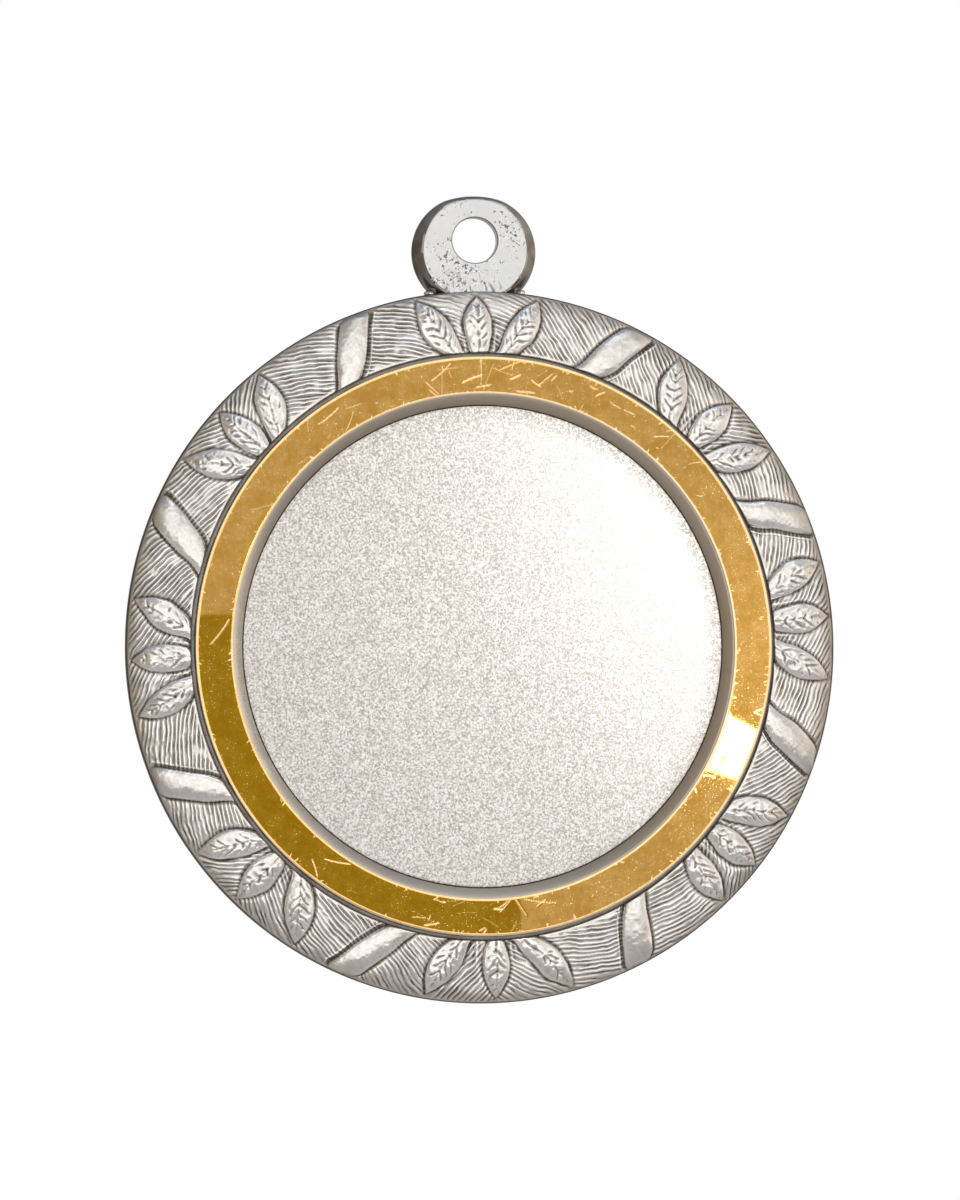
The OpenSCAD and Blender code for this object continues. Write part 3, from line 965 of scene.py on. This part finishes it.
def area_light(name, at, size, power, colour):
    """A soft light that the camera doesn't see, aimed at the medal's centre.

    Its place is from that centre, in millimetres like its size.
    """
    data = bpy.data.lights.new(name, "AREA")
    data.shape = "RECTANGLE"
    data.size, data.size_y = size[0] * MM, size[1] * MM
    data.energy, data.color = power, colour
    light = bpy.data.objects.new(name, data)
    light.location = centre + Vector(at) * MM
    light.rotation_euler = (centre - light.location).to_track_quat("-Z", "Y").to_euler()
    light.visible_camera = False
    bpy.context.scene.collection.objects.link(light)
    return light


# this one lights only the disc, brightest at the upper right
disc_light = area_light("disc_light", (56, -160, 23), (36, 36), 0.030, (1.0, 0.995, 0.985))
lit_by_it = bpy.data.collections.new("lit_by_disc_light")
lit_by_it.objects.link(bpy.data.objects["blasted_disc"])
disc_light.light_linking.receiver_collection = lit_by_it
# a high one in front, and two behind for the edges and for the back
area_light("sky_top", (60, -260, 520), (300, 300), 0.20, (0.86, 0.92, 1.0))
area_light("back_right", (330, 480, 20), (200, 300), 0.08, (1.0, 0.98, 0.95))
area_light("back_soft", (0, 900, 120), (800, 500), 0.60, (1.0, 0.99, 0.97))


# the room's colours towards +X and -X, +Y and -Y, +Z and -Z, and in front of the medal's face
WALLS = [
    ((1.02, 0.92, 0.82), (0.42, 0.36, 0.295)),
    ((0.10, 0.09, 0.085), (0.50, 0.48, 0.46)),
    ((0.38, 0.42, 0.50), (0.50, 0.425, 0.35)),
]
FRONT = (1.34, 1.315, 1.28)
# what the gold ring mirrors: u and v limits in millimetres on its face, and colours
ZONE_U, ZONE_V = (-36, 36), (-36, 34)
ZONE_GREY, ZONE_GLOW = (0.565, 0.575, 0.62), (0.78, 0.80, 0.88)
GLOW_U, GLOW_V, GLOW_CORE, GLOW_REACH = 30, -3, 2, 26
DIM_U, DIM_V = (-36, 3.3), (-36, 3.6)
DIM_COLOUR = (0.34, 0.33, 0.07)
SHINE_ALONG, SHINE_ACROSS = (14, 42), (0, 8.6)
SHINE_DIRECTION = (0.819, -0.574)   # 35 degrees down to the right
SHINE_CUT_DIRECTION = (0.31, 0.95)
SHINE_CUT = (-5.4, 60)
SHINE_COLOUR = (12.0, 12.0, 12.0)


def room_colour(t, parts, forward):
    """Six soft walls, blended by direction, with a brighter one in front."""
    room = None
    for axis, (positive, negative) in enumerate(WALLS):
        square = t.math("MULTIPLY", parts[axis], parts[axis])
        side = t.mix(t.math("GREATER_THAN", parts[axis], 0.0), negative, positive)
        share = t.node("ShaderNodeVectorMath", {0: side, "Scale": square}, operation="SCALE").outputs[0]
        room = share if room is None else t.node("ShaderNodeVectorMath", {0: room, 1: share}).outputs[0]
    return t.mix(t.band(forward, 0.54, 0.96), room, FRONT)


def ring_reflections(t, parts, forward, room):
    """The room with the small part of it that the ring mirrors in the main view painted in.

    That part is laid out by u and v: the place on the ring's face where the camera sees a direction
    mirrored. It is a plain grey zone with a soft glow at the right, a dim patch low on the left and a
    bright band low on the right.
    """
    in_front = t.math("GREATER_THAN", forward, 0.2)
    depth_mm = (BACK_Y - RING_TOP * MM - camera.location.y) / MM

    def mirrored(part, camera_at, centre_at):
        aside = t.math("MULTIPLY", t.math("DIVIDE", part, forward), depth_mm)
        return t.math("ADD", aside, (camera_at - centre_at) / MM)

    def between(value, limits, soft):
        rise = t.band(value, limits[0] - soft, limits[0] + soft)
        fall = t.band(value, limits[1] + soft, limits[1] - soft)
        return t.math("MULTIPLY", t.math("MULTIPLY", rise, fall), in_front)

    def distance_along(direction):
        return t.math("ADD", t.math("MULTIPLY", u, direction[0]), t.math("MULTIPLY", v, direction[1]))

    def square(value, middle):
        return t.math("POWER", t.math("SUBTRACT", value, middle), 2)

    u = mirrored(parts[0], camera.location.x, CENTRE_X)
    v = mirrored(parts[2], camera.location.z, CENTRE_Z)
    from_glow = t.math("SQRT", t.math("ADD", square(u, GLOW_U), square(v, GLOW_V)))
    grey = t.mix(t.band(from_glow, GLOW_REACH, GLOW_CORE), ZONE_GREY, ZONE_GLOW)
    zone = t.math("MULTIPLY", between(u, ZONE_U, 3), between(v, ZONE_V, 2))
    colour = t.mix(zone, room, grey)
    dim = t.math("MULTIPLY", between(u, DIM_U, 0.15), between(v, DIM_V, 0.15))
    colour = t.mix(dim, colour, DIM_COLOUR)
    along = between(distance_along(SHINE_DIRECTION), SHINE_ALONG, 0.3)
    across = between(distance_along((-SHINE_DIRECTION[1], SHINE_DIRECTION[0])), SHINE_ACROSS, 0.2)
    cut = between(distance_along(SHINE_CUT_DIRECTION), SHINE_CUT, 0.25)
    return t.mix(t.math("MULTIPLY", t.math("MULTIPLY", along, across), cut), colour, SHINE_COLOUR)


def studio_world():
    """A soft room, brightest in front, warm at the right and dark behind; the camera sees it white."""
    world = bpy.data.worlds.new("studio")
    bpy.context.scene.world = world
    t = Tree(world)
    direction = t.node("ShaderNodeTexCoord").outputs["Generated"]
    parts = t.node("ShaderNodeSeparateXYZ", {0: direction}).outputs
    forward = t.math("MULTIPLY", parts[1], -1.0)
    colour = ring_reflections(t, parts, forward, room_colour(t, parts, forward))
    lit = t.node("ShaderNodeBackground", {"Color": colour, "Strength": 1.0}).outputs[0]
    seen = t.node("ShaderNodeBackground", {"Color": (1, 1, 1, 1), "Strength": 1.0}).outputs[0]
    from_camera = t.node("ShaderNodeLightPath").outputs["Is Camera Ray"]
    both = t.node("ShaderNodeMixShader", {0: from_camera, 1: lit, 2: seen}).outputs[0]
    t.node("ShaderNodeOutputWorld", {"Surface": both})


studio_world()

# a sheet of paper far below, out of the main view
FLOOR_HALF, FLOOR_Z = 0.9, -0.36
floor_mesh = bpy.data.meshes.new("floor")
corners = [(x * FLOOR_HALF, y * FLOOR_HALF, FLOOR_Z) for x, y in ((-1, -1), (1, -1), (1, 1), (-1, 1))]
floor_mesh.from_pydata(corners, [], [(0, 1, 2, 3)])
floor_mesh.materials.append(floor_paper())
floor = bpy.data.objects.new("floor", floor_mesh)
bpy.context.scene.collection.objects.link(floor)

bpy.context.scene.view_settings.view_transform = "Standard"
